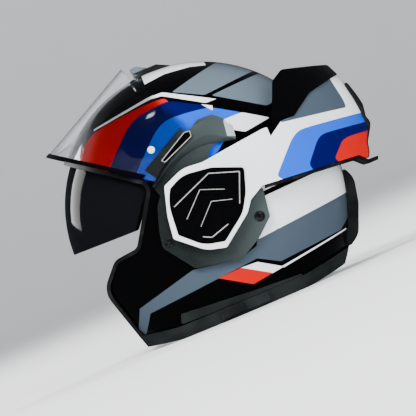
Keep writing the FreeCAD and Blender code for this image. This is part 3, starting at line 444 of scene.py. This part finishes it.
def zinc_steel():
    """Turned steel, zinc plated: bright, with fine lathe rings and a few stains."""
    material, tree, shader = new_material("zinc_plated_steel", {"Metallic": 0.6})
    stain = noise(tree, object_place(tree), 0.004, 3.0)
    tree.links.new(mix(tree, stain, linear("8E9092"), linear("D9DBDD")), shader.inputs["Base Color"])
    rings = add(tree, "ShaderNodeTexWave", {"wave_type": "RINGS", "rings_direction": "X", "Scale": 900.0},
                {"Vector": object_place(tree)}).outputs["Fac"]
    wear(tree, shader, 0.2, 0.15, 0.006)
    bump(tree, shader, rings, 0.00002, 0.4)
    return material


def black_steel():
    """Blackened steel of the socket screws: dark, slightly brown, with rubbed highlights."""
    material, tree, shader = new_material("blackened_steel", {"Metallic": 0.5})
    rubbed = noise(tree, object_place(tree), 0.003, 3.0)
    base = mix(tree, ramp(tree, rubbed, 0.45, 0.75), linear("17181A"), linear("4A4B4D"))
    tree.links.new(base, shader.inputs["Base Color"])
    wear(tree, shader, 0.25, 0.15, 0.004)
    bump(tree, shader, rubbed, 0.00003, 0.5)
    return material


def silver_line():
    """Hot-stamped silver foil along a moulded edge: bright and slightly brushed."""
    material, tree, shader = new_material("stamped_silver_foil", {"Metallic": 0.4})
    streak = noise(tree, object_place(tree), 0.002, 3.0)
    tree.links.new(mix(tree, streak, linear("9A9894"), linear("E4E2DE")), shader.inputs["Base Color"])
    wear(tree, shader, 0.22, 0.15, 0.004)
    bump(tree, shader, streak, 0.00002, 0.4)
    return material


# ---------------------------------------------------------------- mesh helpers, working as by hand
def only(piece):
    """Makes piece the one selected and active object."""
    bpy.ops.object.select_all(action="DESELECT")
    piece.select_set(True)
    bpy.context.view_layer.objects.active = piece


def settle(piece):
    """Applies a piece's place, so that its object sits at the origin."""
    only(piece)
    bpy.ops.object.transform_apply(location=True, rotation=True, scale=True)


def finish_piece(piece, material, body, replaced=(), smooth=35):
    """Gives a finished piece its material slot and its body, hides the nodes it replaces, and shades it."""
    settle(piece)
    bpy.ops.object.shade_smooth_by_angle(angle=math.radians(smooth))
    piece.data.materials.clear()
    piece.data.materials.append(material)
    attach(piece, body)
    if replaced:
        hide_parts(*replaced)


def modify(piece, kind, **settings):
    """Adds a modifier and applies it."""
    only(piece)
    modifier = piece.modifiers.new(kind.title(), kind)
    for key, value in settings.items():
        setattr(modifier, key, value)
    bpy.ops.object.modifier_apply(modifier=modifier.name)


def cad_copy(node, name):
    """A merged copy of a CAD node's mesh, to be shaped further."""
    piece = NODES[node].copy()
    piece.data = NODES[node].data.copy()
    piece.name = name
    piece.parent = None
    for key in list(piece.keys()):
        del piece[key]
    bpy.context.scene.collection.objects.link(piece)
    only(piece)
    bpy.ops.object.mode_set(mode="EDIT")
    bpy.ops.mesh.select_all(action="SELECT")
    bpy.ops.mesh.remove_doubles(threshold=0.00002)
    bpy.ops.object.mode_set(mode="OBJECT")
    return piece


def mirrored_copy(piece, name):
    """The same piece on the other side of the helmet, with its own mesh and its faces outwards."""
    twin = piece.copy()
    twin.data = piece.data.copy()
    twin.name = name
    bpy.context.scene.collection.objects.link(twin)
    twin.data.transform(Matrix.Scale(-1, 4, (1, 0, 0)))
    twin.data.flip_normals()
    return twin


def join(pieces, name):
    """Joins pieces into the first one."""
    bpy.ops.object.select_all(action="DESELECT")
    for piece in pieces:
        piece.select_set(True)
    bpy.context.view_layer.objects.active = pieces[0]
    bpy.ops.object.join()
    pieces[0].name = name
    return pieces[0]


def bar(start, end, width, height, level):
    """A bevelled bar at X = level, from start to end, (y, z) in millimetres from the hinge axis."""
    first, last = (Vector((0, y, z)) * MM for y, z in (start, end))
    middle = HINGE + (first + last) / 2
    bpy.ops.mesh.primitive_cube_add(size=1, location=(level, middle.y, middle.z))
    piece = bpy.context.object
    span = last - first
    piece.rotation_euler = (math.atan2(span.z, span.y), 0, 0)
    piece.scale = (height, span.length, width)
    settle(piece)
    modify(piece, "BEVEL", width=min(width, height) * 0.3, segments=2)
    return piece


class MakePiece(bpy.types.Operator):
    """Base of the operators that make pieces."""

    bl_options = {"REGISTER", "UNDO"}

    def execute(self, context):
        self.make(context)
        return {"FINISHED"}


# ---------------------------------------------------------------- operators
class HELMET_OT_paint(MakePiece):
    """Paints the shell and the chin bar with their livery"""

    bl_idname = "helmet.paint"
    bl_label = "Paint shell and chin bar"

    def make(self, context):
        dress(lacquer("clear_coated_shell_paint", "black", SHELL_LIVERY), "outer_shell")
        dress(lacquer("clear_coated_chin_paint", "white", CHIN_LIVERY), "chin_bar_shell")


class HELMET_OT_mouldings(MakePiece):
    """Finishes trims, plates, vents and foam"""

    bl_idname = "helmet.mouldings"
    bl_label = "Mouldings, trims and foam"

    def make(self, context):
        colours = context.scene.helmet_colours
        plates = satin_paint()
        black = grained_moulding("textured_black_nylon", colours.moulding, 0.42)
        skirt = grained_moulding("textured_skirt_nylon", linear("1A1F1F"), 0.38)
        gloss = polished_black()
        edge = rubber()
        beads = foam()
        dress(plates, "hinge_plate_left", "hinge_plate_right", "visor_arm_left", "visor_arm_right")
        dress(skirt, "neck_skirt", "side_strip_left", "side_strip_right", "slider_track")
        dress(black, "crown_vent_base", "chin_vent_cover", "rear_extractor")
        dress(black, "chin_vent_shutter", "sun_visor_slider")
        dress(gloss, "chin_bar_lip", "visor_rim", "sun_visor_arm_left", "sun_visor_arm_right")
        dress(gloss, "pivot_cap_left", "pivot_cap_right")
        dress(edge, "face_opening_trim", "chin_bar_seal")
        dress(beads, "foam_liner", "chin_bar_foam")
        dress(grained_moulding("pewter_scoop_plastic", colours.pewter), "crown_vent_slider")
        dress(grained_moulding("red_button_plastic", colours.pull_red), "release_button")
        dress(grained_moulding("toothed_nylon", linear("101112")), "ratchet_tongue")
        steel = zinc_steel()
        dress(black_steel(), "plate_screws")
        names = ["buckle_body", "buckle_lever"]
        for side, _ in SIDES:
            names += [f"pivot_pin_{side}", f"sun_visor_clip_{side}", f"strap_rivet_{side}"]
        dress(steel, *names)


class HELMET_OT_lenses(MakePiece):
    """Finishes the visor, its pins and the sun visor"""

    bl_idname = "helmet.lenses"
    bl_label = "Lenses"

    def make(self, context):
        dress(clear_lens(), "visor_lens")
        dress(smoke_lens(), "sun_visor_lens")
        dress(grained_moulding("frosted_pin_plastic", linear("E8EEF4"), 0.2), "insert_pins")


CAP_FRAME = [(-27, 9), (17, 26.5), (46, 16.4), (34, -12.8)]  # silver line round the cap, over and behind
CAP_FRAME_LOW = [(16, -27), (-4, -33), (-12, -29)]
CHEVRONS = [((-19, -10), (4, 12)), ((4, 12), (27, 3)), ((-9, -22), (10, -3)), ((10, -3), (30, -9))]


class HELMET_OT_hinge_caps(MakePiece):
    """Models the silver frame and the raised chevrons on both hinge caps"""

    bl_idname = "helmet.hinge_caps"
    bl_label = "Hinge caps"

    def make(self, context):
        gloss, silver = bpy.data.materials["polished_black_abs"], silver_line()
        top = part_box("pivot_cap_left")[1].x
        frame_bars, edge_bars, chevron_bars = [], [], []
        for corners in (CAP_FRAME, CAP_FRAME_LOW):
            for start, end in zip(corners, corners[1:]):
                frame_bars.append(bar(start, end, 1.1 * MM, 1.0 * MM, top + 0.3 * MM))
        for start, end in CHEVRONS:
            chevron_bars.append(bar(start, end, 6.0 * MM, 1.6 * MM, top + 0.6 * MM))
            upper = [(y - 1, z + 3) for y, z in (start, end)]
            edge_bars.append(bar(*upper, 0.7 * MM, 0.6 * MM, top + 1.4 * MM))
        lines = join(frame_bars + edge_bars, "cap_frame_left")
        blocks = join(chevron_bars, "cap_chevrons_left")
        for piece, material in ((lines, silver), (blocks, gloss)):
            twin = mirrored_copy(piece, piece.name.replace("left", "right"))
            finish_piece(piece, material, "chin_bar")
            finish_piece(twin, material, "chin_bar")


# Lines along the visor's hinge cover, front to back, as (y, z): outer edge, ridge and inner edge.
COVER_OUTER = [
    (-39, 36), (-24, 49), (-10, 60), (4, 68), (17, 75), (31, 77), (42, 75), (50.5, 70.5), (57.5, 61),
    (56, 49),
]
COVER_RIDGE = [
    (-38, 35), (-25, 43.5), (-13, 50.5), (0, 56.5), (13.4, 61), (22, 62.5), (29, 62.6), (38, 59),
    (48, 53), (55.5, 47.6),
]
COVER_INNER = [
    (-37, 33), (-27, 38.5), (-16, 45), (-4, 50), (8, 53), (18, 54.5), (28, 54), (37, 51), (47, 49),
    (55, 46.8),
]
COVER_LEVELS = (121.3, 126.4, 121.8)  # X of those three lines
COVER_BACK = 119.9  # X of the cover's flat back
SLOT = [(16.2, 72.4), (15.6, 67), (-18, 53.4), (-20.6, 56), (10.5, 73)]
SLOT_FLOOR, SLOT_LEVEL = 124, 127.6  # X of the slot block's inner and outer faces


def tube(name, rings):
    """A closed piece drawn out through rings of points: a filled polygon, extruded to each further ring."""
    bpy.ops.mesh.primitive_circle_add(vertices=len(rings[0]), fill_type="NGON")
    piece = bpy.context.object
    piece.name = name
    bpy.ops.object.mode_set(mode="EDIT")
    drawing = bmesh.from_edit_mesh(piece.data)
    for vertex, place in zip(drawing.verts, rings[0]):
        vertex.co = place
    for ring in rings[1:]:
        bpy.ops.mesh.extrude_region_move()
        drawing = bmesh.from_edit_mesh(piece.data)
        drawing.verts.ensure_lookup_table()
        for vertex, place in zip([v for v in drawing.verts if v.select], ring):
            vertex.co = place
    bmesh.update_edit_mesh(piece.data)
    bpy.ops.mesh.select_all(action="SELECT")
    bpy.ops.mesh.normals_make_consistent(inside=False)
    bpy.ops.object.mode_set(mode="OBJECT")
    return piece


def hinge_point(x, y, z):
    """A point from its X and its place behind and above the hinge axis, all in millimetres."""
    return Vector((x * MM, HINGE.y + y * MM, HINGE.z + z * MM))


class HELMET_OT_visor_covers(MakePiece):
    """Models the faceted covers over the visor's arms, with a slot at the front edge"""

    bl_idname = "helmet.visor_covers"
    bl_label = "Visor covers"

    def make(self, context):
        # the covers' satin paint carries the pale painted highlight
        satin, gloss = satin_paint("satin_cover_paint", True), bpy.data.materials["polished_black_abs"]
        silver = bpy.data.materials["stamped_silver_foil"]
        outer_x, ridge_x, inner_x = COVER_LEVELS
        rings = []
        for outer, ridge, inner in zip(COVER_OUTER, COVER_RIDGE, COVER_INNER):
            levels = COVER_BACK, outer_x, ridge_x, inner_x, COVER_BACK
            places = outer, outer, ridge, inner, inner
            rings.append([hinge_point(x, *place) for x, place in zip(levels, places)])
        cover = tube("visor_cover_left", rings)
        sharp = math.radians(25)
        modify(cover, "BEVEL", width=0.6 * MM, segments=2, limit_method="ANGLE", angle_limit=sharp)
        ends = [[hinge_point(x, *place) for place in SLOT] for x in (SLOT_FLOOR, SLOT_LEVEL)]
        slot = tube("visor_slot_left", ends)
        modify(slot, "BEVEL", width=0.4 * MM, segments=2, limit_method="ANGLE")
        level = (SLOT_LEVEL + 0.1) * MM
        edge = [bar(start, end, 0.8 * MM, 0.8 * MM, level) for start, end in zip(SLOT, SLOT[1:] + SLOT[:1])]
        rim = join(edge, "visor_slot_rim_left")
        for piece, material in ((cover, satin), (slot, gloss), (rim, silver)):
            twin = mirrored_copy(piece, piece.name.replace("left", "right"))
            finish_piece(piece, material, "visor")
            finish_piece(twin, material, "visor")


PADS = (
    ("comfort_liner", "crown_pad"),
    ("cheek_pad_left", "left_cheek_pad"),
    ("cheek_pad_right", "right_cheek_pad"),
    ("neck_roll", "neck_pad"),
)


CLOTH_FRAMES = 20
CHANNEL_SLANT = 0.35  # how far back a channel runs for each step up
CHANNEL_WIDTH = 1.6 * MM
CHANNEL_DEPTH = 2.2 * MM


def swell(piece, limit):
    """Lets cloth puff the piece up under pressure, no point moving further than limit."""
    start = [vertex.co.copy() for vertex in piece.data.vertices]
    only(piece)
    cloth = piece.modifiers.new("Cloth", "CLOTH")
    cloth.settings.use_pressure = True
    cloth.settings.uniform_pressure_force = 4.0
    cloth.settings.effector_weights.gravity = 0.0
    cloth.settings.quality = 4
    cloth.settings.mass = 0.3
    cloth.settings.tension_stiffness = 8
    cloth.settings.compression_stiffness = 8
    cloth.settings.bending_stiffness = 0.6
    cloth.collision_settings.use_collision = False
    scene = bpy.context.scene
    cloth.point_cache.frame_start = 1
    cloth.point_cache.frame_end = CLOTH_FRAMES
    for number in range(1, CLOTH_FRAMES + 1):
        scene.frame_set(number)
    bpy.ops.object.modifier_apply(modifier=cloth.name)
    scene.frame_set(1)
    for vertex, before in zip(piece.data.vertices, start):
        moved = vertex.co - before
        if moved.length > limit:
            vertex.co = before + moved.normalized() * limit


def channel_depth(point, pitch):
    """How deep a sewn channel presses the cloth at a point: 0 between channels, 1 on one."""
    turn = (point.y - HINGE.y + CHANNEL_SLANT * (point.z - HINGE.z)) / pitch
    nearest = abs(turn - round(turn)) * pitch
    return math.exp(-((nearest / CHANNEL_WIDTH) ** 2))


def sew_channels(piece, pitch, depth):
    """Presses parallel sewn channels into a pad."""
    normals = [vertex.normal.copy() for vertex in piece.data.vertices]
    for vertex, normal in zip(piece.data.vertices, normals):
        vertex.co -= normal * depth * channel_depth(vertex.co, pitch)


class HELMET_OT_padding(MakePiece):
    """Models crown pad, cheek pads and neck roll as swollen, quilted cloth"""

    bl_idname = "helmet.padding"
    bl_label = "Padding"

    def make(self, context):
        sizes = context.scene.helmet_sizes
        cloth = knit_cloth()
        for node, name in PADS:
            piece = cad_copy(node, name)
            modify(piece, "REMESH", mode="VOXEL", voxel_size=sizes.voxel)
            modify(piece, "SMOOTH", factor=0.5, iterations=6)
            piece.data.update()
            swell(piece, sizes.swell)
            modify(piece, "SUBSURF", levels=1, render_levels=1)
            sew_channels(piece, sizes.quilt, CHANNEL_DEPTH)
            finish_piece(piece, cloth, "helmet", [node], 80)


def ribbon(points, width, thickness, name):
    """A flat strap along points in the XZ plane, centred on the hinge in Y, with rounded bends."""
    path = [Vector((x, HINGE.y, z)) for x, z in points]
    for _ in range(2):
        softer = [path[0]]
        for first, second in zip(path, path[1:]):
            softer += [first.lerp(second, 0.25), first.lerp(second, 0.75)]
        path = softer + [path[-1]]
    rings = []
    half = Vector((0, width / 2, 0))
    for number, here in enumerate(path):
        ahead = path[min(number + 1, len(path) - 1)] - path[max(number - 1, 0)]
        out = Vector((ahead.z, 0, -ahead.x)).normalized() * thickness / 2
        rings.append([here - half - out, here + half - out, here + half + out, here - half + out])
    piece = tube(name, rings)
    modify(piece, "BEVEL", width=thickness * 0.3, segments=2, limit_method="ANGLE")
    return piece


STRAP_WALL = 2.2 * MM
STRAP_TAB = 20 * MM  # how far the riveted end hangs down outside


class HELMET_OT_straps(MakePiece):
    """Models the two halves of the chin strap and the red pull tabs as webbing"""

    bl_idname = "helmet.straps"
    bl_label = "Straps and pull tabs"

    def make(self, context):
        colours = context.scene.helmet_colours
        black = webbing("woven_black_webbing", colours.webbing)
        red = webbing("woven_red_tape", colours.pull_red)
        for side, sign in SIDES:
            low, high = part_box(f"strap_{side}")
            inner = high.x if sign < 0 else low.x
            outer = low.x if sign < 0 else high.x
            step = sign * STRAP_WALL / 2
            top = high.z - STRAP_WALL / 2
            points = [
                (outer - step, high.z - STRAP_TAB),
                (outer - step, high.z - 9 * MM),
                (outer - step, top),
                (outer - sign * 8 * MM, top),
                ((inner + outer) / 2, top),
                (inner + sign * 8 * MM, top),
                (inner + step, top),
                (inner + step, high.z - 9 * MM),
                (inner + step, (low.z + high.z) / 2 - 6 * MM),
                (inner + step, low.z),
            ]
            piece = ribbon(points, high.y - low.y - 0.4 * MM, STRAP_WALL, f"webbing_strap_{side}")
            finish_piece(piece, black, "helmet", [f"strap_{side}"])
        for side, _ in SIDES:
            node = f"cheek_release_tab_{side}"
            piece = cad_copy(node, f"pull_tab_{side}")
            finish_piece(piece, red, "helmet", [node])


CAMERA_DISTANCE = 4.0
CAMERA_FIELD = 0.424  # width of the picture at the helmet
CAMERA_ROLL = math.radians(22.8)
CAMERA_AIM = Vector((0, 3.5 * MM, -4.8 * MM))  # from the hinge axis to the middle of the picture
# Name, place, width, power, and whether reflections and clear pieces show the lamp.
LIGHTS = (
    ("key_light", (2.4, -0.8, 2.6), 1.6, 190, False),
    ("fill_light", (3.0, 1.6, 0.9), 1.8, 80, False),
    ("catch_light", (1.2, -0.4, 3.0), 0.22, 10, True),
    ("rim_light", (-1.2, 1.0, 2.4), 0.9, 50, False),
    ("front_card", (-1.6, -2.2, 1.3), 1.4, 110, True),
)


class HELMET_OT_studio(MakePiece):
    """Sets the camera, the pale floor with its curved backdrop, and soft lights"""

    bl_idname = "helmet.studio"
    bl_label = "Studio"

    def make(self, context):
        scene = context.scene
        sizes = scene.helmet_sizes
        bpy.ops.mesh.primitive_grid_add(x_subdivisions=90, y_subdivisions=90, size=sizes.floor)
        floor = context.object
        floor.name = "studio_sweep"
        flat, rise = sizes.floor * 0.25, sizes.floor * 0.1
        for vertex in floor.data.vertices:
            reach = math.hypot(vertex.co.x, vertex.co.y)
            beyond = max(reach - flat, 0)
            turn = min(beyond / rise, math.pi / 2)
            pull = (min(reach, flat) + rise * math.sin(turn)) / max(reach, flat * 0.01)
            vertex.co.x *= pull
            vertex.co.y *= pull
            vertex.co.z = rise * (1 - math.cos(turn)) + max(beyond - rise * math.pi / 2, 0)
        bpy.ops.object.shade_smooth()
        pale, tree, shader = new_material("pale_paper_sweep", {"Roughness": 0.9})
        fibre = noise(tree, object_place(tree), 0.004, 4.0)
        paper = mix(tree, ramp(tree, fibre, 0.3, 0.7), linear("DFE0E2"), linear("E9EAEC"))
        tree.links.new(paper, shader.inputs["Base Color"])
        shader.inputs["Emission Color"].default_value = rgba(linear("E9EAEC"))
        shader.inputs["Emission Strength"].default_value = 0.35
        bump(tree, shader, fibre, 0.0002, 0.3)
        floor.data.materials.append(pale)
        floor.visible_glossy = False

        for name, place, width, power, mirrored in LIGHTS:
            data = bpy.data.lights.new(name, "AREA")
            data.size = width
            data.energy = power
            lamp = bpy.data.objects.new(name, data)
            scene.collection.objects.link(lamp)
            lamp.location = place
            lamp.visible_glossy = mirrored
            lamp.visible_transmission = mirrored
            lamp.rotation_euler = (HINGE - Vector(place)).to_track_quat("-Z", "Y").to_euler()
        world = bpy.data.worlds.new("studio_world")
        world.use_nodes = True
        sky = world.node_tree.nodes["Background"]
        sky.inputs["Color"].default_value = (0.75, 0.78, 0.82, 1)
        sky.inputs["Strength"].default_value = 0.06
        scene.world = world

        data = bpy.data.cameras.new("profile_camera")
        data.sensor_width = 36
        data.lens = data.sensor_width * CAMERA_DISTANCE / CAMERA_FIELD
        camera = bpy.data.objects.new("profile_camera", data)
        scene.collection.objects.link(camera)
        up = Vector((0, math.sin(CAMERA_ROLL), math.cos(CAMERA_ROLL)))
        right = Vector((0, math.cos(CAMERA_ROLL), -math.sin(CAMERA_ROLL)))
        turn = Matrix((right, up, Vector((1, 0, 0)))).transposed().to_4x4()
        place = HINGE + CAMERA_AIM + Vector((CAMERA_DISTANCE, 0, 0))
        camera.matrix_world = Matrix.Translation(place) @ turn
        scene.camera = camera


class HELMET_PT_panel(bpy.types.Panel):
    """Sidebar panel that lists the pieces and their settings"""

    bl_idname = "HELMET_PT_panel"
    bl_label = "Helmet"
    bl_space_type = "VIEW_3D"
    bl_region_type = "UI"
    bl_category = "Helmet"

    def draw(self, context):
        layout = self.layout
        for operator in OPERATORS:
            layout.operator(operator.bl_idname)
        for group in (context.scene.helmet_colours, context.scene.helmet_sizes):
            box = layout.box()
            for name in group.__annotations__:
                box.prop(group, name)


OPERATORS = (
    HELMET_OT_studio,
    HELMET_OT_paint,
    HELMET_OT_mouldings,
    HELMET_OT_lenses,
    HELMET_OT_hinge_caps,
    HELMET_OT_visor_covers,
    HELMET_OT_padding,
    HELMET_OT_straps,
)
CLASSES = (HelmetColours, HelmetSizes, *OPERATORS, HELMET_PT_panel)


def register():
    for item in CLASSES:
        bpy.utils.register_class(item)
    bpy.types.Scene.helmet_colours = bpy.props.PointerProperty(type=HelmetColours)
    bpy.types.Scene.helmet_sizes = bpy.props.PointerProperty(type=HelmetSizes)


def unregister():
    del bpy.types.Scene.helmet_sizes
    del bpy.types.Scene.helmet_colours
    for item in reversed(CLASSES):
        bpy.utils.unregister_class(item)


def main():
    register()
    bpy.ops.object.select_all(action="DESELECT")
    bpy.ops.helmet.studio()
    bpy.ops.helmet.paint()
    bpy.ops.helmet.mouldings()
    bpy.ops.helmet.lenses()
    bpy.ops.helmet.hinge_caps()
    bpy.ops.helmet.visor_covers()
    bpy.ops.helmet.padding()
    bpy.ops.helmet.straps()


if __name__ == "__main__":
    main()
